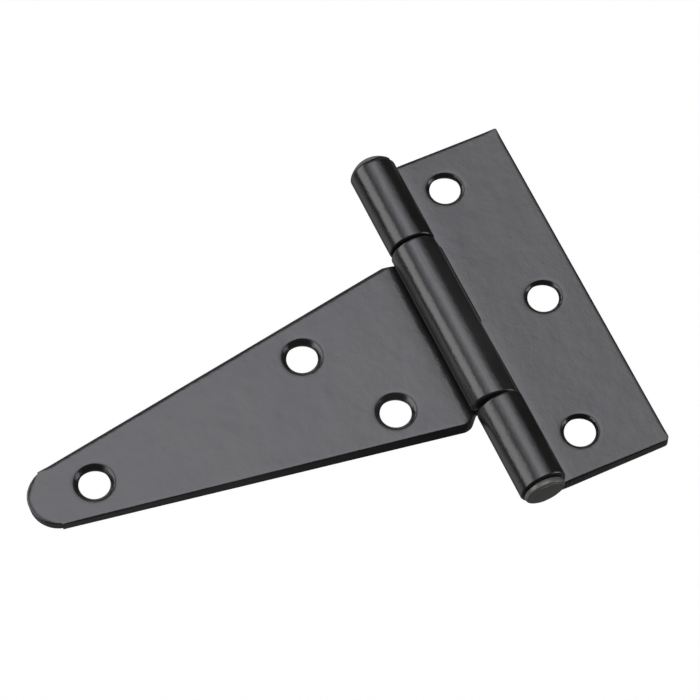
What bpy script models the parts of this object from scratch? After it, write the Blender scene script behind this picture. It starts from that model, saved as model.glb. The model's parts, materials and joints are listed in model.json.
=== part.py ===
"""T hinge: a rectangular post leaf, a tapered strap leaf and the riveted pin that joins them.

Both leaves are flat stamped plates whose eyes are rolled round the pin: the post leaf has one eye
at each end, and the strap leaf has the long eye between them. The hinge stands upright. Z is the
pin's direction, the backs of both leaves lie in the plane y = 0 and face +Y, and the rolled eyes
stand out towards -Y. The origin is on the post leaf's back, midway between its two end screw holes.
"""

import math

import bmesh
import bpy

MM = 0.001
CLOSE = 0.000001

# Driving dimensions
PLATE = 2.5 * MM
EYE_RADIUS = 4.0 * MM
LEAF_HEIGHT = 65.0 * MM
LEAF_REACH = 23.15 * MM
STRAP_REACH = 76.2 * MM
STRAP_EYE_LOW = -16.1 * MM
STRAP_EYE_HIGH = 15.6 * MM
EYE_GAP = 0.35 * MM
PIN_CLEARANCE = 0.08 * MM

# Post leaf: corner radius, and the notch that the strap's eye turns in, half of it cut deeper
LEAF_CORNER = 0.5 * MM
NOTCH_DEPTH = 4.35 * MM
NOTCH_RELIEF = 0.3 * MM
NOTCH_SLOPE = 2.0 * MM

# Strap leaf: the height of its middle, half widths of its taper at the pin's axis and at the tip,
# its shoulder, its rounded heel, the reliefs cut beside both and its nose
STRAP_MIDDLE = 0.2 * MM
STRAP_ROOT_HALF = 17.1 * MM
STRAP_TIP_HALF = 4.6 * MM
SHOULDER_REACH = 5.9 * MM
SHOULDER_RADIUS = 0.3 * MM
RELIEF_LOW = -15.2 * MM
RELIEF_HIGH = 14.95 * MM
HEEL_REACH = 5.7 * MM
HEEL_RADIUS = 1.8 * MM
NOSE_LENGTH = 3.6 * MM
NOSE_STEP = 0.25 * MM

# Rolled eyes: the lip stops just short of the plate that it curls back to
LIP_ANGLE = 162.5
EYE_STEPS = 48

# Countersunk screw holes, as (distance from the pin's axis, height); the strap's are sunk deeper
HOLE_RADIUS = 2.6 * MM
LEAF_SINK_RADIUS = 3.2 * MM
STRAP_SINK_RADIUS = 3.4 * MM
HOLE_STEPS = 40
LEAF_HOLE_REACH = 10.4 * MM
LEAF_HOLE_HEIGHT = 25.15 * MM
LEAF_HOLES = (
    (LEAF_HOLE_REACH, -LEAF_HOLE_HEIGHT),
    (16.1 * MM, 0.0),
    (LEAF_HOLE_REACH, LEAF_HOLE_HEIGHT),
)
STRAP_HOLES = (
    (15.2 * MM, 9.2 * MM),
    (24.9 * MM, -6.3 * MM),
    (64.9 * MM, 0.5 * MM),
)

# Pin: a flat riveted head on top and a wider domed head below
HEAD_PLAY = 0.25 * MM
FLAT_HEAD_RADIUS = 3.3 * MM
FLAT_HEAD_HEIGHT = 1.25 * MM
FLAT_HEAD_EDGE = 0.6 * MM
DOME_RADIUS = 3.75 * MM
DOME_HEIGHT = 1.85 * MM
PIN_STEPS = 48

# Worked out from the driving dimensions
BORE_RADIUS = EYE_RADIUS - PLATE
PIN_RADIUS = BORE_RADIUS - PIN_CLEARANCE
LEAF_HALF = LEAF_HEIGHT / 2
NOTCH_LOW = STRAP_EYE_LOW - EYE_GAP
NOTCH_HIGH = STRAP_EYE_HIGH + EYE_GAP
PIN_AXIS = (LEAF_HOLE_REACH, -EYE_RADIUS, 0.0)
PAST = 1.0 * MM
SEAM = 0.15 * MM


def empty_scene():
    for thing in list(bpy.data.objects):
        bpy.data.objects.remove(thing, do_unlink=True)


def new_collection(name):
    group = bpy.data.collections.new(name)
    bpy.context.scene.collection.children.link(group)
    return group


def painted_steel(name, colour, roughness):
    material = bpy.data.materials.new(name)
    material.use_nodes = True
    shader = material.node_tree.nodes["Principled BSDF"]
    shader.inputs["Base Color"].default_value = (*colour, 1.0)
    shader.inputs["Roughness"].default_value = roughness
    shader.inputs["Metallic"].default_value = 0.0
    return material


def arc(centre, radius, start, end, steps):
    """Points on a circle from start to end, both in degrees."""
    turn = [math.radians(start + (end - start) * i / steps) for i in range(steps + 1)]
    return [(centre[0] + radius * math.cos(a), centre[1] + radius * math.sin(a)) for a in turn]


def rounded(corners, steps=8):
    """A closed outline from (x, y, radius) corners, in anticlockwise order."""
    points = []
    for i, (x, y, radius) in enumerate(corners):
        if radius == 0:
            points.append((x, y))
            continue
        before, after = corners[i - 1], corners[(i + 1) % len(corners)]
        heading_in = math.atan2(y - before[1], x - before[0])
        heading_out = math.atan2(after[1] - y, after[0] - x)
        bend = (heading_out - heading_in + math.pi) % math.tau - math.pi
        side = math.copysign(1.0, bend)
        setback = radius * math.tan(abs(bend) / 2)
        start = (x - setback * math.cos(heading_in), y - setback * math.sin(heading_in))
        centre = (start[0] - side * radius * math.sin(heading_in),
                  start[1] + side * radius * math.cos(heading_in))
        first = math.degrees(heading_in) - side * 90
        points += arc(centre, radius, first, first + math.degrees(bend), steps)
    return points


def extruded(name, points, half_depth, group):
    """A mesh object from a flat outline in its own XY plane, half_depth thick each way."""
    curve = bpy.data.curves.new(name, "CURVE")
    curve.dimensions = "2D"
    curve.fill_mode = "BOTH"
    curve.extrude = half_depth
    spline = curve.splines.new("POLY")
    spline.points.add(len(points) - 1)
    for point, (x, y) in zip(spline.points, points):
        point.co = (x, y, 0, 1)
    spline.use_cyclic_u = True
    guide = bpy.data.objects.new(name + "_outline", curve)
    bpy.context.scene.collection.objects.link(guide)
    evaluated = guide.evaluated_get(bpy.context.evaluated_depsgraph_get())
    mesh = bpy.data.meshes.new_from_object(evaluated)
    mesh.name = name
    bpy.data.objects.remove(guide)

    welded = bmesh.new()
    welded.from_mesh(mesh)
    bmesh.ops.remove_doubles(welded, verts=welded.verts, dist=CLOSE)
    bmesh.ops.recalc_face_normals(welded, faces=welded.faces)
    welded.to_mesh(mesh)
    welded.free()

    solid = bpy.data.objects.new(name, mesh)
    group.objects.link(solid)
    return solid


def turned(name, profile, steps, group):
    """A solid of revolution about its own Z, from (radius, height) points, top to bottom."""
    mesh = bpy.data.meshes.new(name)
    links = [(i, i + 1) for i in range(len(profile) - 1)]
    mesh.from_pydata([(radius, 0, height) for radius, height in profile], links, [])
    solid = bpy.data.objects.new(name, mesh)
    group.objects.link(solid)
    screw = solid.modifiers.new("Turn", "SCREW")
    screw.steps = steps
    screw.render_steps = steps
    screw.use_merge_vertices = True
    screw.merge_threshold = CLOSE
    return solid


def combine(solid, tool, operation):
    boolean = solid.modifiers.new(tool.name, "BOOLEAN")
    boolean.object = tool
    boolean.operation = operation
    boolean.solver = "EXACT"


def as_cutter(tool):
    tool.hide_render = True
    tool.display_type = "WIRE"
    return tool


def place_on_pin(solid, rotation=(0, 0, 0), offset=(0, 0, 0)):
    solid.location = tuple(a + b for a, b in zip(PIN_AXIS, offset))
    solid.rotation_euler = rotation


def shade_round(solid):
    solid.data.shade_smooth()
    solid.data.set_sharp_from_angle(angle=math.radians(30))


def rolled_section(reach, side):
    """Section across the pin: a flat plate out to reach, and its eye rolled over the front.

    side is +1 for a plate that runs towards +X, and -1 for one that runs towards -X.
    """
    outer = arc((0, 0), EYE_RADIUS, 90, LIP_ANGLE - 360, EYE_STEPS)
    inner = arc((0, 0), BORE_RADIUS, LIP_ANGLE - 360, 90, EYE_STEPS)
    plate = [(-reach, BORE_RADIUS), (-reach, EYE_RADIUS)]
    return [(-side * x, y) for x, y in outer + inner + plate]


def screw_hole(name, reach, height, sink_radius, group):
    """Cutter for one countersunk hole, open to the front, at its distance from the pin's axis."""
    sink_depth = sink_radius - HOLE_RADIUS
    front, back = -BORE_RADIUS, -EYE_RADIUS
    profile = [
        (0, front + PAST),
        (sink_radius + PAST, front + PAST),
        (HOLE_RADIUS, front - sink_depth),
        (HOLE_RADIUS, back - PAST),
        (0, back - PAST),
    ]
    cutter = as_cutter(turned(name, profile, HOLE_STEPS, group))
    place_on_pin(cutter, rotation=(math.radians(90), 0, 0), offset=(reach, 0, height))
    return cutter


def rolled_leaf(name, reach, side, half_height, blank, holes, sink_radius, material, parts,
                cutters):
    """A leaf: its rolled section, trimmed to the flat blank's outline and drilled for screws."""
    leaf = extruded(name, rolled_section(reach, side), half_height, parts)
    place_on_pin(leaf)
    outline = as_cutter(extruded(name + "_blank", blank, EYE_RADIUS + PAST, cutters))
    place_on_pin(outline, rotation=(math.radians(90), 0, 0))
    combine(leaf, outline, "INTERSECT")
    for number, (distance, height) in enumerate(holes, start=1):
        cutter = screw_hole(f"{name}_hole_{number}", side * distance, height, sink_radius, cutters)
        combine(leaf, cutter, "DIFFERENCE")
    leaf.data.materials.append(material)
    shade_round(leaf)
    return leaf


def post_leaf_blank():
    """Outline seen from the front: a rectangle, notched beside the pin for the strap's eye."""
    past_eye = EYE_RADIUS + PAST
    relief = NOTCH_DEPTH + NOTCH_RELIEF
    return rounded([
        (-LEAF_REACH, -LEAF_HALF, LEAF_CORNER),
        (past_eye, -LEAF_HALF, 0),
        (past_eye, NOTCH_LOW, 0),
        (-NOTCH_DEPTH, NOTCH_LOW, 0),
        (-relief, NOTCH_LOW + NOTCH_SLOPE, 0),
        (-relief, 0, 0),
        (-NOTCH_DEPTH, 0, 0),
        (-NOTCH_DEPTH, NOTCH_HIGH, 0),
        (past_eye, NOTCH_HIGH, 0),
        (past_eye, LEAF_HALF, 0),
        (-LEAF_REACH, LEAF_HALF, LEAF_CORNER),
    ])


def strap_half_width(distance):
    return STRAP_ROOT_HALF + (STRAP_TIP_HALF - STRAP_ROOT_HALF) * distance / STRAP_REACH


def nose(start, half_width):
    """Corners of the arc that ends the strap, from its lower end round to its upper end."""
    radius = (half_width ** 2 + NOSE_LENGTH ** 2) / (2 * NOSE_LENGTH)
    reach = math.degrees(math.asin(half_width / radius))
    if NOSE_LENGTH > radius:
        reach = 180 - reach
    centre = (start + NOSE_LENGTH - radius, STRAP_MIDDLE)
    return [(x, z, 0) for x, z in arc(centre, radius, -reach, reach, 20)]


def strap_leaf_blank():
    """Outline seen from the front: the eye's tab, shoulder, long taper, round nose and heel."""
    past_eye = EYE_RADIUS + PAST
    tab_end = EYE_RADIUS + SEAM
    nose_start = STRAP_REACH - NOSE_LENGTH
    nose_half = strap_half_width(nose_start)
    shoulder = strap_half_width(SHOULDER_REACH)
    heel = strap_half_width(HEEL_REACH)
    return rounded([
        (-past_eye, STRAP_EYE_LOW, 0),
        (tab_end, STRAP_EYE_LOW, 0),
        (tab_end, RELIEF_LOW, 0),
        (SHOULDER_REACH, STRAP_MIDDLE - shoulder, SHOULDER_RADIUS),
        (nose_start, STRAP_MIDDLE - nose_half, 0),
        *nose(nose_start, nose_half - NOSE_STEP),
        (nose_start, STRAP_MIDDLE + nose_half, 0),
        (HEEL_REACH, STRAP_MIDDLE + heel, HEEL_RADIUS),
        (tab_end, RELIEF_HIGH, 0),
        (tab_end, STRAP_EYE_HIGH, 0),
        (-past_eye, STRAP_EYE_HIGH, 0),
    ])


def hinge_pin(material, parts):
    """The pin, from its flat riveted head down to its domed head."""
    seat = LEAF_HALF + HEAD_PLAY
    flat_top = seat + FLAT_HEAD_HEIGHT
    edge_centre = (FLAT_HEAD_RADIUS - FLAT_HEAD_EDGE, flat_top - FLAT_HEAD_EDGE)
    ball = (DOME_RADIUS ** 2 + DOME_HEIGHT ** 2) / (2 * DOME_HEIGHT)
    ball_centre = (0, -seat - DOME_HEIGHT + ball)
    rim = math.degrees(math.asin((ball - DOME_HEIGHT) / ball))
    profile = [(0, flat_top)]
    profile += arc(edge_centre, FLAT_HEAD_EDGE, 90, 0, 6)
    profile += [(FLAT_HEAD_RADIUS, seat), (PIN_RADIUS, seat), (PIN_RADIUS, -seat)]
    profile += arc(ball_centre, ball, -rim, -90, 9)[:-1]
    profile += [(0, -seat - DOME_HEIGHT)]
    pin = turned("hinge_pin", profile, PIN_STEPS, parts)
    place_on_pin(pin)
    pin.data.materials.append(material)
    shade_round(pin)
    return pin


def build_hinge():
    empty_scene()
    parts = new_collection("t_hinge")
    cutters = new_collection("t_hinge_cutters")
    leaf_paint = painted_steel("black_leaf_paint", (0.030, 0.030, 0.032), 0.38)
    strap_paint = painted_steel("black_strap_paint", (0.032, 0.032, 0.033), 0.38)
    pin_paint = painted_steel("black_pin_paint", (0.028, 0.028, 0.029), 0.42)
    rolled_leaf("post_leaf", LEAF_REACH, -1, LEAF_HALF, post_leaf_blank(), LEAF_HOLES,
                LEAF_SINK_RADIUS, leaf_paint, parts, cutters)
    rolled_leaf("strap_leaf", STRAP_REACH + PAST, 1, STRAP_ROOT_HALF, strap_leaf_blank(),
                STRAP_HOLES, STRAP_SINK_RADIUS, strap_paint, parts, cutters)
    hinge_pin(pin_paint, parts)


build_hinge()
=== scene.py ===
"""T hinge, finished: two rolled steel leaves and their riveted pin under black enamel.

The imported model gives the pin's axis, the plane of the leaves' backs and every outer size. Each
leaf is made here as a press makes it: a flat blank with broken edges and countersunk holes, cut
into fine strips across its tab, whose tab is then rolled round the pin.
"""

import json
import math

import bmesh
import bpy
from mathutils import Matrix, Vector, noise


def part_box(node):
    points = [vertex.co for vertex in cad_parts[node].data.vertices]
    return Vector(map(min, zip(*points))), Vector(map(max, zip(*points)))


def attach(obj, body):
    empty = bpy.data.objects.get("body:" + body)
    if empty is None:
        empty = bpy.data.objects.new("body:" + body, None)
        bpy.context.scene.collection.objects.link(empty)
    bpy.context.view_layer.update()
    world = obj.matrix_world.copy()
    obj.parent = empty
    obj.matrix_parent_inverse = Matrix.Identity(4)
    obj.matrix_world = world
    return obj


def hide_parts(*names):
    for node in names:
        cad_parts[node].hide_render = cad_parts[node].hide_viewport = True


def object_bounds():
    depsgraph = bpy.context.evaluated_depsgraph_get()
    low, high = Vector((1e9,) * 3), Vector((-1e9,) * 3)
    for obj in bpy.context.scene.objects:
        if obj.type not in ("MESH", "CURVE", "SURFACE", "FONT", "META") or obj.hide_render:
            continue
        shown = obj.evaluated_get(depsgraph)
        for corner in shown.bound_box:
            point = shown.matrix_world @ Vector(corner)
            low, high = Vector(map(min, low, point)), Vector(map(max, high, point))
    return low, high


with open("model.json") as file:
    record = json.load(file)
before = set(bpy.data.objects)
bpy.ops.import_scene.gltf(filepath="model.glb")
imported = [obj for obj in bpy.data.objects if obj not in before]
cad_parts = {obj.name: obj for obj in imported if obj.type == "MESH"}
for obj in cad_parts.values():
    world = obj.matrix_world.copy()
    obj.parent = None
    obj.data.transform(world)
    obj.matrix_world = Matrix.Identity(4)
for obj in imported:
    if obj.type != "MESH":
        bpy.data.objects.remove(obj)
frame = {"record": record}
CAD_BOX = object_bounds()

MM = 0.001

# Sizes read from the frame
JOINT = frame["record"]["behaviour"]["joints"][0]
PIN_AXIS = Vector(JOINT["pos_m"])
LEAF_LOW, LEAF_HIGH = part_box("post_leaf")
STRAP_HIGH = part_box("strap_leaf")[1]
PIN_LOW, PIN_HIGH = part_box("hinge_pin")
EYE_RADIUS = LEAF_HIGH[1] - PIN_AXIS.y
LEAF_REACH = PIN_AXIS.x - LEAF_LOW[0]
LEAF_HALF = LEAF_HIGH[2]
STRAP_REACH = STRAP_HIGH[0] - PIN_AXIS.x
DOME_RADIUS = (PIN_HIGH[0] - PIN_LOW[0]) / 2

# Plate and rolled eyes
PLATE = 2.5 * MM
BORE_RADIUS = EYE_RADIUS - PLATE
NEUTRAL_RADIUS = BORE_RADIUS + PLATE / 2
ROLL_ANGLE = 287.5
ROLL_STEP = 3.0
STRAP_EYE_LOW = -16.1 * MM
STRAP_EYE_HIGH = 15.6 * MM
EYE_GAP = 0.35 * MM

# Edges of the blanks. The press rolls the front edge over, by one (width, depth) on the sides that
# face -Z and the post, and by another on the side that faces +Z; beside small features it is finer.
# The back edge is broken, more so over the tab, and the whole edge flares from front to back, by
# one amount at the leaf's root and another at its tip.
LEAF_ROLLOVERS = ((0.72 * MM, 0.26 * MM), (0.55 * MM, 0.34 * MM))
STRAP_ROLLOVERS = ((0.95 * MM, 0.34 * MM), (0.50 * MM, 0.27 * MM))
FINE_ROLLOVER = (0.18 * MM, 0.18 * MM)
FLAT_BREAK = 0.30 * MM
TAB_BREAK = 0.45 * MM
BREAK_STEPS = 6
LEAF_FLARE = (0.14 * MM, 0.0)
STRAP_FLARE = (0.52 * MM, -0.26 * MM)

# Outlines, as distances from the pin's axis and heights
LEAF_LOW_CORNER = 0.35 * MM
LEAF_HIGH_CORNER = 0.85 * MM
NOTCH_DEPTH = 4.35 * MM
NOTCH_RELIEF = 0.3 * MM
NOTCH_START = 0.8 * MM
NOTCH_SLOPE = 0.5 * MM
NOTCH_FIRST_RELIEF = 0.22 * MM
NOTCH_HIGH_RELIEF = 0.18 * MM
STRAP_MIDDLE = 0.2 * MM
STRAP_ROOT_HALF = 17.0 * MM
STRAP_TIP_HALF = 4.6 * MM
SHOULDER_REACH = 5.9 * MM
RELIEF_REACH = 2.6 * MM
RELIEF_LOW = -15.5 * MM
RELIEF_HIGH = 14.45 * MM
HEEL_REACH = 5.4 * MM
HEEL_RADIUS = 2.0 * MM
HEEL_FOOT = 3.35 * MM
NOSE_LENGTH = 3.6 * MM
NOSE_STEP = 0.25 * MM
TAB_CORNER = 0.55 * MM
CORNER = 0.25 * MM
TIGHT_CORNER = 0.15 * MM
OUTLINE_STEP = 0.8 * MM

# Screw holes, as (distance from the pin's axis, height); their sinks' radius and depth, and how
# far the punch tore the back wider
HOLE_RADIUS = 2.6 * MM
LEAF_HOLES = ((10.2 * MM, -25.3 * MM), (16.1 * MM, 0.1 * MM), (10.5 * MM, 25.0 * MM))
STRAP_HOLES = ((15.2 * MM, 9.2 * MM), (24.9 * MM, -6.3 * MM), (64.9 * MM, 0.5 * MM))
LEAF_SINK = (3.17 * MM, 0.72 * MM, 0.72 * MM)
STRAP_SINK = (3.40 * MM, 0.95 * MM, 0.55 * MM)
HOLE_STEPS = 96

# Cuts across the flat blank, so that it rolls and bows smoothly: close together beside the eye,
# further apart out to the tip, and even in height, with none on the notch's step at height 0
NEAR_CUTS = [(3.2 + 0.4 * i) * MM for i in range(12)]
FAR_CUTS = [(8.0 + 1.5 * i) * MM for i in range(48)]
HEIGHT_CUTS = [(0.8 + 2.0 * i) * MM for i in range(-18, 18)]

# Slow waver of the formed steel, as (height, length), and each piece's seed for it
LEAF_WAVER = (0.016 * MM, 8 * MM)
HEAD_WAVER = (0.035 * MM, 1.4 * MM)
POST_SEED = 3
STRAP_SEED = 17
PIN_SEED = 31

# Pin: a riveted flat head that leans a little, and a domed head
SHANK_CLEARANCE = 0.07 * MM
FLAT_HEAD_PLAY = 0.15 * MM
DOME_HEAD_PLAY = 0.27 * MM
FLAT_HEAD_RADIUS = 3.45 * MM
FLAT_HEAD_EDGE = 0.45 * MM
FLAT_HEAD_STEP = 0.10 * MM
HEAD_TILT = 4.5
HEAD_SHIFT = (-0.18 * MM, -0.10 * MM)
HEAD_FOOT = 0.12 * MM
PIN_STEPS = 96


# ---------------------------------------------------------------- outlines

def arc(centre, radius, start, end, steps):
    """Points on a circle from start to end, both in degrees."""
    turn = [math.radians(start + (end - start) * i / steps) for i in range(steps + 1)]
    return [(centre[0] + radius * math.cos(a), centre[1] + radius * math.sin(a)) for a in turn]


def rounded(corners):
    """A closed outline from (x, z, radius) corners, in anticlockwise order."""
    points = []
    for i, (x, z, radius) in enumerate(corners):
        before, after = corners[i - 1], corners[(i + 1) % len(corners)]
        heading_in = math.atan2(z - before[1], x - before[0])
        heading_out = math.atan2(after[1] - z, after[0] - x)
        bend = (heading_out - heading_in + math.pi) % math.tau - math.pi
        if radius == 0:
            points.append((x, z))
            continue
        side = math.copysign(1.0, bend)
        setback = radius * math.tan(abs(bend) / 2)
        start = (x - setback * math.cos(heading_in), z - setback * math.sin(heading_in))
        centre = (start[0] - side * radius * math.sin(heading_in),
                  start[1] + side * radius * math.cos(heading_in))
        first = math.degrees(heading_in) - side * 90
        steps = 10 if radius > 0.3 * MM else 4
        points += arc(centre, radius, first, first + math.degrees(bend), steps)
    return points


def post_leaf_outline():
    tab = math.radians(ROLL_ANGLE) * NEUTRAL_RADIUS
    notch_low = STRAP_EYE_LOW - EYE_GAP
    notch_high = STRAP_EYE_HIGH + EYE_GAP
    first_relief = NOTCH_DEPTH + NOTCH_FIRST_RELIEF
    relief = NOTCH_DEPTH + NOTCH_RELIEF
    return rounded([
        (-LEAF_REACH, -LEAF_HALF, LEAF_LOW_CORNER),
        (tab, -LEAF_HALF, TAB_CORNER),
        (tab, notch_low, TAB_CORNER),
        (-NOTCH_DEPTH, notch_low, TIGHT_CORNER),
        (-NOTCH_DEPTH, notch_low + NOTCH_START, 0),
        (-first_relief, notch_low + NOTCH_START + NOTCH_SLOPE, 0),
        (-relief, 0, TIGHT_CORNER),
        (-NOTCH_DEPTH, 0, CORNER),
        (-NOTCH_DEPTH - NOTCH_HIGH_RELIEF, notch_high, TIGHT_CORNER),
        (tab, notch_high, TAB_CORNER),
        (tab, LEAF_HALF, TAB_CORNER),
        (-LEAF_REACH, LEAF_HALF, LEAF_HIGH_CORNER),
    ])


def strap_half_width(distance):
    return STRAP_ROOT_HALF + (STRAP_TIP_HALF - STRAP_ROOT_HALF) * distance / STRAP_REACH


def nose(start, half_width):
    """Corners of the arc that ends the strap, from its lower end round to its upper end."""
    radius = (half_width ** 2 + NOSE_LENGTH ** 2) / (2 * NOSE_LENGTH)
    reach = math.degrees(math.asin(half_width / radius))
    if NOSE_LENGTH > radius:
        reach = 180 - reach
    centre = (start + NOSE_LENGTH - radius, STRAP_MIDDLE)
    return [(x, z, 0) for x, z in arc(centre, radius, -reach, reach, 36)]


def strap_leaf_outline():
    tab = math.radians(ROLL_ANGLE) * NEUTRAL_RADIUS
    nose_start = STRAP_REACH - NOSE_LENGTH
    nose_half = strap_half_width(nose_start)
    shoulder = strap_half_width(SHOULDER_REACH)
    heel = strap_half_width(HEEL_REACH)
    return rounded([
        (-tab, STRAP_EYE_LOW, TAB_CORNER),
        (RELIEF_REACH, STRAP_EYE_LOW, 0),
        (RELIEF_REACH, RELIEF_LOW, CORNER),
        (EYE_RADIUS, RELIEF_LOW, CORNER),
        (SHOULDER_REACH, STRAP_MIDDLE - shoulder, CORNER),
        (nose_start, STRAP_MIDDLE - nose_half, 0),
        *nose(nose_start, nose_half - NOSE_STEP),
        (nose_start, STRAP_MIDDLE + nose_half, 0),
        (HEEL_REACH, STRAP_MIDDLE + heel, HEEL_RADIUS),
        (HEEL_FOOT, RELIEF_HIGH, CORNER),
        (RELIEF_REACH, RELIEF_HIGH, CORNER),
        (RELIEF_REACH, STRAP_EYE_HIGH, 0),
        (-tab, STRAP_EYE_HIGH, TAB_CORNER),
    ])


def stepped(outline, step):
    """The outline with its long sides cut into short ones."""
    points = []
    for i, (x, z) in enumerate(outline):
        x2, z2 = outline[(i + 1) % len(outline)]
        cuts = max(1, math.ceil(math.hypot(x2 - x, z2 - z) / step))
        points += [(x + (x2 - x) * k / cuts, z + (z2 - z) * k / cuts) for k in range(cuts)]
    return points


# ---------------------------------------------------------------- pressed and rolled plate

def edge_section(roll, back_break, flare):
    """The blank's edge, as (inset, depth) from its front face to its back."""
    steps = [math.radians(90 * i / BREAK_STEPS) for i in range(BREAK_STEPS + 1)]
    front = [(roll[0] * (1 - math.sin(a)), roll[1] * (1 - math.cos(a))) for a in steps]
    back = [(back_break * (1 - math.cos(a)), PLATE - back_break * (1 - math.sin(a)))
            for a in steps]
    return [(inset - flare * depth / PLATE, depth) for inset, depth in front + back]


def edge_rings(outline, side, flare, rollovers, fine_places):
    """The outline's rings from front to back.

    Over the tab the edge is plain but for its softer back. Away from the pin it gains its
    rollover and flare, and the rollover narrows near the fine places.
    """
    root_flare, tip_flare = flare
    far = max(side * x for x, _ in outline)
    sections = []
    for i, (x, z) in enumerate(outline):
        before, after = outline[i - 1], outline[(i + 1) % len(outline)]
        heading = Vector((after[0] - before[0], after[1] - before[1])).normalized()
        up_facing = max(-heading.x, 0.0)
        flat = min(max((side * x - 1.0 * MM) / (4.0 * MM), 0.0), 1.0)
        along = min(max(side * x / far, 0.0), 1.0)
        nearest = min(math.hypot(x - a, z - b) for a, b in fine_places)
        wide = min(max((nearest - 0.5 * MM) / (1.6 * MM), 0.0), 1.0) * flat
        broad = [a + (b - a) * up_facing for a, b in zip(*rollovers)]
        roll = [a + (b - a) * wide for a, b in zip(FINE_ROLLOVER, broad)]
        cut = (root_flare + (tip_flare - root_flare) * along) * flat
        sections.append(edge_section(roll, TAB_BREAK + (FLAT_BREAK - TAB_BREAK) * flat, cut))
    rings = []
    for level in range(len(sections[0])):
        ring = []
        for i, (x, z) in enumerate(outline):
            before, after = outline[i - 1], outline[(i + 1) % len(outline)]
            first = Vector((before[1] - z, x - before[0])).normalized()
            second = Vector((z - after[1], after[0] - x)).normalized()
            inset, depth = sections[i][level]
            shift = (first + second) * inset / (1 + first.dot(second))
            ring.append((x + shift.x, depth, z + shift.y))
        rings.append(ring)
    return rings


def curve_through(start, pull, end, steps):
    """Points on a quadratic curve, without its start."""
    made = []
    for i in range(1, steps + 1):
        t = i / steps
        made.append(tuple((1 - t) ** 2 * a + 2 * t * (1 - t) * b + t * t * c
                          for a, b, c in zip(start, pull, end)))
    return made


def hole_section(sink_radius, sink_depth, flare):
    """A countersunk hole, as (radius, depth): its soft rim, its sink and its torn-out back."""
    dish, rim = sink_radius + 0.9 * MM, sink_radius + 0.22 * MM
    sink_top = (sink_radius - 0.07 * MM, 0.12 * MM)
    sink_foot = (HOLE_RADIUS + 0.03 * MM, sink_depth)
    land = (HOLE_RADIUS, sink_depth + 0.12 * MM)
    torn = (HOLE_RADIUS + flare * 0.85, PLATE - 0.14 * MM)
    back = (HOLE_RADIUS + flare, PLATE)
    section = [(dish, 0.0)]
    section += curve_through(section[-1], (rim + 0.25 * MM, 0.0), (rim, 0.03 * MM), 5)
    section += curve_through(section[-1], (sink_radius + 0.03 * MM, 0.055 * MM), sink_top, 5)
    section += [sink_foot]
    section += curve_through(sink_foot, (HOLE_RADIUS, sink_depth + 0.04 * MM), land, 4)
    section += [torn]
    section += curve_through(torn, (torn[0] + 0.04 * MM, PLATE), back, 4)
    return section


def ring_of_verts(mesh, points):
    return [mesh.verts.new(point) for point in points]


def bridge(mesh, rings):
    """Faces between each ring and the next."""
    for near, far in zip(rings, rings[1:]):
        for i in range(len(near)):
            j = (i + 1) % len(near)
            mesh.faces.new((near[i], near[j], far[j], far[i]))


def fill_between(mesh, loops, facing):
    """Flat face inside the first loop and outside the others."""
    edges = []
    for loop in loops:
        for i, vert in enumerate(loop):
            edges.append(mesh.edges.get((vert, loop[(i + 1) % len(loop)])))
    bmesh.ops.triangle_fill(mesh, edges=edges, use_beauty=True, normal=facing)


def flat_blank(outline, side, flare, rollovers, fine_places, holes, sink):
    """The pressed blank, lying in XZ with its front at y = 0 and its back at y = PLATE."""
    mesh = bmesh.new()
    rings = edge_rings(stepped(outline, OUTLINE_STEP), side, flare, rollovers, fine_places)
    edge = [ring_of_verts(mesh, ring) for ring in rings]
    bridge(mesh, edge)
    bores = []
    for centre in holes:
        bore = []
        for radius, depth in hole_section(*sink):
            circle = arc(centre, radius, 0, 360, HOLE_STEPS)[:-1]
            bore.append(ring_of_verts(mesh, [(x, depth, z) for x, z in circle]))
        bridge(mesh, bore)
        bores.append(bore)
    fill_between(mesh, [edge[0]] + [rings[0] for rings in bores], (0, -1, 0))
    fill_between(mesh, [edge[-1]] + [rings[-1] for rings in bores], (0, 1, 0))
    return mesh


def slice_at(mesh, places, normal):
    for place in places:
        geometry = list(mesh.verts) + list(mesh.edges) + list(mesh.faces)
        bmesh.ops.bisect_plane(mesh, geom=geometry, dist=0.000001,
                               plane_co=Vector(normal) * place, plane_no=normal)


def dip_beside_eye(past, depth):
    """How far the plate's front sinks beside its eye."""
    beside = min(math.exp(-(past - EYE_RADIUS) / (1.2 * MM)), 1.25)
    return depth * beside * min(past / (3.0 * MM), 1.0)


def leaf_bow(past):
    """The post leaf's front is dished a little, most of it within 16 mm of the pin."""
    reach = min(max((past - 5.0 * MM) / (11.0 * MM), 0.0), 1.0)
    slope = 0.006 * max(past - 5.0 * MM, 0.0)
    return dip_beside_eye(past, 0.20 * MM) + 0.15 * MM * (1 - (1 - reach) ** 2) + slope


def strap_bow(past):
    return dip_beside_eye(past, 0.30 * MM)


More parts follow.
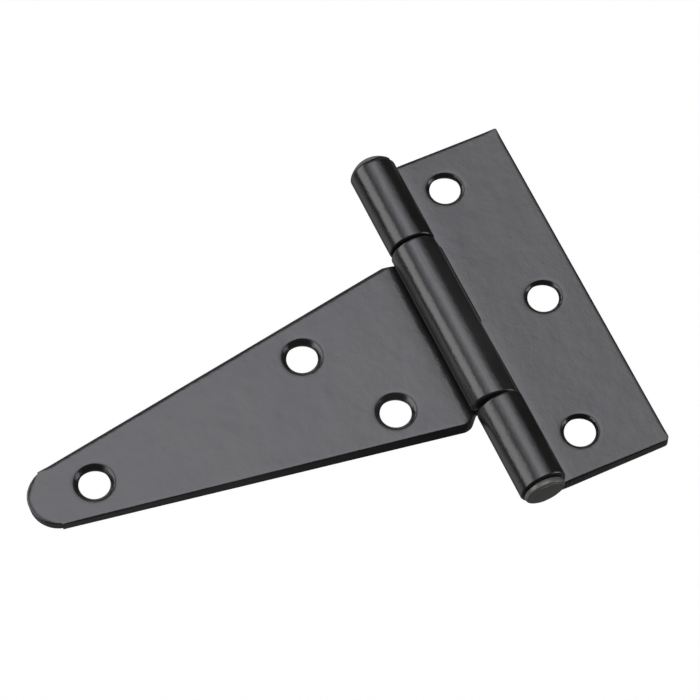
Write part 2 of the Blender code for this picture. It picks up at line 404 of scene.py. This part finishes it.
def roll_eye(mesh, side, skew, egg, bow):
    """Rolls what lies past the pin's axis round it, with the blank's front face inside.

    skew(height) leans the eye's rings. egg(height) swells the front of the eye towards +X and draws
    it in towards -X, fully 60 degrees from the front and not at all behind. bow(distance) sinks
    the flat part's front.
    """
    for vert in mesh.verts:
        past = -side * vert.co.x
        radius = BORE_RADIUS + vert.co.y
        if past <= 0:
            front = 1 - vert.co.y / PLATE
            vert.co.y = radius + front * bow(-past)
            continue
        turn = math.pi / 2 + side * past / NEUTRAL_RADIUS
        faced = (math.degrees(turn) + 90) % 360
        faced = faced - 360 if faced > 180 else faced
        swell = egg(vert.co.z) * math.sin(math.radians(min(max(1.5 * faced, -90), 90)))
        swell = max(swell, -0.12 * MM)
        if abs(faced) > 90:
            swell *= max(0.0, 1 - (abs(faced) - 90) / 70)
        radius += swell * vert.co.y / PLATE
        vert.co.x, vert.co.y = radius * math.cos(turn), radius * math.sin(turn)
        vert.co.z -= skew(vert.co.z) * vert.co.x


def let_waver(verts, seed, height, length):
    """Moves the surface by a slow noise, as cold-formed steel is never quite true."""
    noise.seed_set(seed)
    for vert in verts:
        vert.co += noise.noise_vector(vert.co / length) * height


def keep_inside(mesh, low, high):
    for vert in mesh.verts:
        vert.co = [min(max(c, a), b) for c, a, b in zip(vert.co, low, high)]


def finished_piece(name, mesh, material, body, node):
    """Turns a bmesh into a shown piece that stands in for one CAD node."""
    keep_inside(mesh, *CAD_BOX)
    bmesh.ops.recalc_face_normals(mesh, faces=mesh.faces)
    data = bpy.data.meshes.new(name)
    mesh.to_mesh(data)
    mesh.free()
    data.shade_smooth()
    data.set_sharp_from_angle(angle=math.radians(40))
    data.materials.append(material)
    piece = bpy.data.objects.new(name, data)
    bpy.context.scene.collection.objects.link(piece)
    weighted = piece.modifiers.new("EvenNormals", "WEIGHTED_NORMAL")
    weighted.keep_sharp = True
    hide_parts(node)
    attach(piece, body)
    return piece


def rolled_leaf(outline, rollovers, fine_places, holes, sink, side, flare, skew, egg, bow, seed):
    """A whole leaf in place: side is +1 where it runs towards +X from the pin, -1 towards -X."""
    spots = [(side * reach, height) for reach, height in holes]
    mesh = flat_blank(outline, side, flare, rollovers, fine_places, spots, sink)
    tab_steps = int(ROLL_ANGLE / ROLL_STEP)
    pitch = math.radians(ROLL_STEP) * NEUTRAL_RADIUS
    slice_at(mesh, [-side * i * pitch for i in range(tab_steps)], (1, 0, 0))
    slice_at(mesh, [side * place for place in NEAR_CUTS + FAR_CUTS], (1, 0, 0))
    slice_at(mesh, HEIGHT_CUTS, (0, 0, 1))
    roll_eye(mesh, side, skew, egg, bow)
    let_waver(mesh.verts, seed, *LEAF_WAVER)
    bmesh.ops.translate(mesh, verts=mesh.verts, vec=PIN_AXIS)
    return mesh


# ---------------------------------------------------------------- pin

def lathe(mesh, section, steps):
    """A closed turned solid about Z from (radius, height) points, top to bottom, pole to pole."""
    rings = []
    for radius, height in section[1:-1]:
        circle = arc((0, 0), radius, 0, 360, steps)[:-1]
        rings.append(ring_of_verts(mesh, [(x, y, height) for x, y in circle]))
    bridge(mesh, rings)
    for pole, ring in ((section[0], rings[0]), (section[-1], rings[-1])):
        tip = mesh.verts.new((0, 0, pole[1]))
        for i in range(steps):
            mesh.faces.new((tip, ring[i], ring[(i + 1) % steps]))


def pin_section():
    """The pin from its flat riveted head down to its domed head."""
    seat = LEAF_HALF + FLAT_HEAD_PLAY
    flat_edge = FLAT_HEAD_RADIUS - FLAT_HEAD_EDGE
    flat_top = PIN_HIGH[2] - math.sin(math.radians(HEAD_TILT)) * flat_edge
    crown = 0.06 * MM
    shank = BORE_RADIUS - SHANK_CLEARANCE
    section = [(0, flat_top)]
    section += [(flat_edge * i / 10, flat_top - crown * (i / 10) ** 3) for i in range(1, 11)]
    edge_top = flat_top - crown - FLAT_HEAD_STEP
    section += [(flat_edge + 0.03 * MM, edge_top + 0.03 * MM)]
    section += arc((flat_edge, edge_top - FLAT_HEAD_EDGE), FLAT_HEAD_EDGE, 78, 0, 8)
    section += [(FLAT_HEAD_RADIUS, seat + HEAD_FOOT), (FLAT_HEAD_RADIUS - HEAD_FOOT, seat)]
    section += [(shank, seat)]
    dome_seat = -LEAF_HALF - DOME_HEAD_PLAY
    dome_rise = dome_seat - PIN_LOW[2]
    ball = (DOME_RADIUS ** 2 + dome_rise ** 2) / (2 * dome_rise)
    rim = math.degrees(math.asin((ball - dome_rise) / ball))
    section += [(shank, dome_seat), (DOME_RADIUS - HEAD_FOOT, dome_seat)]
    section += arc((0, PIN_LOW[2] + ball), ball, -rim - 2, -90, 14)[:-1]
    section += [(0, PIN_LOW[2])]
    return section


def lean_flat_head(mesh):
    """The riveted head, upset a little off centre and out of square."""
    seat = LEAF_HALF + FLAT_HEAD_PLAY
    height = PIN_HIGH[2] - seat
    for vert in mesh.verts:
        lift = (vert.co.z - seat) / height
        if lift <= 0:
            continue
        vert.co.z -= math.sin(math.radians(HEAD_TILT)) * vert.co.y * lift
        vert.co.x += HEAD_SHIFT[0] * lift
        vert.co.y += HEAD_SHIFT[1] * lift


def pin_mesh():
    mesh = bmesh.new()
    lathe(mesh, pin_section(), PIN_STEPS)
    lean_flat_head(mesh)
    heads = [vert for vert in mesh.verts if abs(vert.co.z) > LEAF_HALF]
    let_waver(heads, PIN_SEED, *HEAD_WAVER)
    bmesh.ops.translate(mesh, verts=mesh.verts, vec=PIN_AXIS)
    return mesh


# ---------------------------------------------------------------- materials

def fine_noise(tree, place, scale, detail):
    made = tree.nodes.new("ShaderNodeTexNoise")
    made.inputs["Scale"].default_value = scale
    made.inputs["Detail"].default_value = detail
    tree.links.new(place, made.inputs["Vector"])
    return made.outputs["Fac"]


def bump(tree, height, distance, under=None):
    made = tree.nodes.new("ShaderNodeBump")
    made.inputs["Strength"].default_value = 1.0
    made.inputs["Distance"].default_value = distance
    tree.links.new(height, made.inputs["Height"])
    if under is not None:
        tree.links.new(under, made.inputs["Normal"])
    return made.outputs["Normal"]


def pinholes(tree, place):
    """1 all over, falling to 0 in small scattered pits."""
    cells = tree.nodes.new("ShaderNodeTexVoronoi")
    cells.inputs["Scale"].default_value = 380.0
    tree.links.new(place, cells.inputs["Vector"])
    pit = tree.nodes.new("ShaderNodeMapRange")
    pit.interpolation_type = "SMOOTHSTEP"
    pit.inputs["From Min"].default_value = 0.02
    pit.inputs["From Max"].default_value = 0.09
    tree.links.new(cells.outputs["Distance"], pit.inputs["Value"])
    return pit.outputs["Result"]


def black_enamel(name, colour, roughness, peel):
    """Semi-gloss black enamel on steel: orange peel, fine grain, pinholes and mild cloudiness."""
    material = bpy.data.materials.new(name)
    material.use_nodes = True
    tree = material.node_tree
    shader = tree.nodes["Principled BSDF"]
    shader.inputs["IOR"].default_value = 1.53
    place = tree.nodes.new("ShaderNodeTexCoord").outputs["Object"]

    cloud = fine_noise(tree, place, 60.0, 3.0)
    tone = tree.nodes.new("ShaderNodeValToRGB")
    tone.color_ramp.elements[0].position = 0.35
    tone.color_ramp.elements[0].color = (*colour, 1)
    tone.color_ramp.elements[1].position = 0.70
    tone.color_ramp.elements[1].color = (colour[0] * 2.2, colour[1] * 2.2, colour[2] * 1.8, 1)
    tree.links.new(cloud, tone.inputs["Fac"])
    tree.links.new(tone.outputs["Color"], shader.inputs["Base Color"])

    sheen = tree.nodes.new("ShaderNodeMapRange")
    sheen.inputs["To Min"].default_value = roughness - 0.03
    sheen.inputs["To Max"].default_value = roughness + 0.05
    tree.links.new(cloud, sheen.inputs["Value"])
    tree.links.new(sheen.outputs["Result"], shader.inputs["Roughness"])

    waved = bump(tree, fine_noise(tree, place, 240.0, 1.0), peel * 4.5)
    peeled = bump(tree, fine_noise(tree, place, 900.0, 2.0), peel * 1.5, waved)
    grained = bump(tree, fine_noise(tree, place, 2600.0, 2.0), peel, peeled)
    pitted = bump(tree, pinholes(tree, place), 0.012 * MM, grained)
    tree.links.new(pitted, shader.inputs["Normal"])
    return material


# ---------------------------------------------------------------- studio

CAMERA_AZIMUTH = 12.81
CAMERA_ELEVATION = 25.11
CAMERA_ROLL = 152.27
CAMERA_DISTANCE = 657.7 * MM
CAMERA_LENS = 205.95
LOOK_AT = PIN_AXIS + Vector((17.27, 1.5, -4.03)) * MM

# Soft boxes of the light tent: azimuth, half width, softness, elevation, half height, softness,
# strength and colour. Azimuth 0 is in front of the hinge and 90 towards the strap; in degrees.
SOFT_BOXES = (
    (-5.0, 24, 24, -5, 33, 9, 3.42, (0.985, 0.97, 1.045)),
    (-6, 11, 11, -5, 33, 9, 0.55, (0.985, 0.97, 1.045)),
    (62, 19.5, 7, -30, 42, 10, 3.5, (1.0, 1.0, 1.0)),
    (-85, 20, 8, 28, 12, 8, 3.2, (1.0, 1.0, 1.0)),
    (125, 22, 14, -25, 35, 10, 0.5, (1.0, 1.0, 1.0)),
    (180, 70, 20, -15, 55, 15, 0.11, (1.0, 1.0, 1.0)),
    (0, 200, 20, -78, 22, 12, 0.40, (1.0, 1.0, 1.0)),
)
TENT_GLOW = 0.03
BACKDROP = 1.0


def direction(azimuth, elevation):
    a, e = math.radians(azimuth), math.radians(elevation)
    return Vector((math.sin(a) * math.cos(e), -math.cos(a) * math.cos(e), math.sin(e)))


def add_camera():
    towards = direction(CAMERA_AZIMUTH, CAMERA_ELEVATION)
    level = Vector((0, 0, 1)).cross(towards).normalized()
    upright = towards.cross(level)
    roll = math.radians(CAMERA_ROLL)
    right = level * math.cos(roll) + upright * math.sin(roll)
    up = upright * math.cos(roll) - level * math.sin(roll)
    data = bpy.data.cameras.new("camera")
    data.lens = CAMERA_LENS
    data.sensor_width = 36.0
    data.clip_start, data.clip_end = 0.01, 100.0
    camera = bpy.data.objects.new("camera", data)
    bpy.context.scene.collection.objects.link(camera)
    place = Matrix((right, up, towards)).transposed().to_4x4()
    place.translation = LOOK_AT + towards * CAMERA_DISTANCE
    camera.matrix_world = place
    bpy.context.scene.camera = camera


def maths(tree, operation, first, second=None):
    made = tree.nodes.new("ShaderNodeMath")
    made.operation = operation
    for socket, value in zip(made.inputs, (first, second)):
        if isinstance(value, (int, float)):
            socket.default_value = value
        elif value is not None:
            tree.links.new(value, socket)
    return made.outputs["Value"]


def window(tree, angle, centre, half, softness):
    """1 within half of centre and 0 outside it; angles in degrees.

    Its edges are soft, and where the softness reaches the centre it falls off steadily.
    """
    away = maths(tree, "ABSOLUTE", maths(tree, "SUBTRACT", angle, centre))
    around = maths(tree, "MINIMUM", away, maths(tree, "SUBTRACT", 360, away))
    fade = tree.nodes.new("ShaderNodeMapRange")
    fade.interpolation_type = "LINEAR" if softness >= half else "SMOOTHSTEP"
    fade.inputs["From Min"].default_value = half - softness
    fade.inputs["From Max"].default_value = half + softness
    fade.inputs["To Min"].default_value = 1.0
    fade.inputs["To Max"].default_value = 0.0
    tree.links.new(around, fade.inputs["Value"])
    return fade.outputs["Result"]


def light_tent():
    """World light: dim all round with soft boxes in it, and a plain pale backdrop to the eye."""
    world = bpy.data.worlds.new("light_tent")
    bpy.context.scene.world = world
    world.use_nodes = True
    tree = world.node_tree
    tree.nodes.clear()
    coordinate = tree.nodes.new("ShaderNodeTexCoord")
    split = tree.nodes.new("ShaderNodeSeparateXYZ")
    tree.links.new(coordinate.outputs["Generated"], split.inputs["Vector"])
    back = maths(tree, "MULTIPLY", split.outputs["Y"], -1.0)
    to_degrees = math.degrees(1.0)
    azimuth = maths(tree, "MULTIPLY", maths(tree, "ARCTAN2", split.outputs["X"], back), to_degrees)
    elevation = maths(tree, "MULTIPLY", maths(tree, "ARCSINE", split.outputs["Z"]), to_degrees)
    glow = tree.nodes.new("ShaderNodeBackground")
    glow.inputs["Strength"].default_value = TENT_GLOW
    tent = glow.outputs["Background"]
    for side, half_width, side_soft, height, half_height, soft, strength, colour in SOFT_BOXES:
        across = window(tree, azimuth, side, half_width, side_soft)
        along = window(tree, elevation, height, half_height, soft)
        box = tree.nodes.new("ShaderNodeBackground")
        box.inputs["Color"].default_value = (*colour, 1)
        shape = maths(tree, "MULTIPLY", across, along)
        tree.links.new(maths(tree, "MULTIPLY", shape, strength), box.inputs["Strength"])
        both = tree.nodes.new("ShaderNodeAddShader")
        tree.links.new(tent, both.inputs[0])
        tree.links.new(box.outputs["Background"], both.inputs[1])
        tent = both.outputs["Shader"]
    backdrop = tree.nodes.new("ShaderNodeBackground")
    backdrop.inputs["Strength"].default_value = BACKDROP
    seen = tree.nodes.new("ShaderNodeLightPath")
    mix = tree.nodes.new("ShaderNodeMixShader")
    output = tree.nodes.new("ShaderNodeOutputWorld")
    tree.links.new(seen.outputs["Is Camera Ray"], mix.inputs["Fac"])
    tree.links.new(tent, mix.inputs[1])
    tree.links.new(backdrop.outputs["Background"], mix.inputs[2])
    tree.links.new(mix.outputs["Shader"], output.inputs["Surface"])


def add_floor():
    """A plain pale floor, well below the hinge, that the paint doesn't mirror."""
    size, drop = 30.0, 0.30
    mesh = bmesh.new()
    bmesh.ops.create_grid(mesh, x_segments=1, y_segments=1, size=size)
    data = bpy.data.meshes.new("floor")
    mesh.to_mesh(data)
    mesh.free()
    floor = bpy.data.objects.new("floor", data)
    floor.location = (PIN_AXIS.x, 0, PIN_LOW[2] - drop)
    bpy.context.scene.collection.objects.link(floor)
    floor.visible_glossy = False
    material = bpy.data.materials.new("pale_floor")
    material.use_nodes = True
    shader = material.node_tree.nodes["Principled BSDF"]
    shader.inputs["Base Color"].default_value = (0.35, 0.35, 0.35, 1)
    shader.inputs["Roughness"].default_value = 1.0
    shader.inputs["Specular IOR Level"].default_value = 0.0
    shader.inputs["Emission Color"].default_value = (1, 1, 1, 1)
    shader.inputs["Emission Strength"].default_value = 0.90
    data.materials.append(material)


# ---------------------------------------------------------------- the hinge

def post_skew(height):
    """How far each eye's rings lean: the one below the strap's does, the one above doesn't."""
    return 0.06 if height < 0 else 0.0


def strap_skew(height):
    return 0.065 + 0.065 * height / STRAP_EYE_HIGH


def post_egg(height):
    return 0.0 if height < 0 else -0.18 * MM


def strap_egg(height):
    return 0.23 * MM  # the same all along its one eye


leaf_paint = black_enamel("leaf_enamel", (0.006, 0.006, 0.006), 0.21, 0.020 * MM)
strap_paint = black_enamel("strap_enamel", (0.009, 0.009, 0.010), 0.21, 0.020 * MM)
# The pin wears the same black enamel as the leaves, but its colour is painted about eight times
# lighter. This is painted reflection: it stands in for the light that its flat and domed heads
# mirror.
pin_paint_painted_reflection = black_enamel("pin_enamel_painted_reflection", (0.050, 0.050, 0.051), 0.32, 0.020 * MM)

# Fine places: all along the notch, the post leaf's corners, and the strap's heels and nose
leaf_places = [(-NOTCH_DEPTH, z * MM) for z in range(-16, 17)]
leaf_places += [(-LEAF_REACH, -LEAF_HALF), (-LEAF_REACH, LEAF_HALF)]
nose_start = STRAP_REACH - NOSE_LENGTH
nose_half = strap_half_width(nose_start)
strap_places = [(EYE_RADIUS, RELIEF_LOW), (HEEL_FOOT, RELIEF_HIGH)]
strap_places += [(nose_start, -nose_half), (nose_start, nose_half)]

post_leaf = rolled_leaf(post_leaf_outline(), LEAF_ROLLOVERS, leaf_places, LEAF_HOLES, LEAF_SINK,
                        -1, LEAF_FLARE, post_skew, post_egg, leaf_bow, POST_SEED)
strap_leaf = rolled_leaf(strap_leaf_outline(), STRAP_ROLLOVERS, strap_places, STRAP_HOLES,
                         STRAP_SINK, 1, STRAP_FLARE, strap_skew, strap_egg, strap_bow, STRAP_SEED)
finished_piece("post_leaf_steel", post_leaf, leaf_paint, "post_side", "post_leaf")
finished_piece("strap_leaf_steel", strap_leaf, strap_paint, "gate_side", "strap_leaf")
finished_piece("hinge_pin_steel", pin_mesh(), pin_paint_painted_reflection, "post_side", "hinge_pin")

add_camera()
light_tent()
add_floor()
bpy.context.scene.view_settings.view_transform = "Standard"
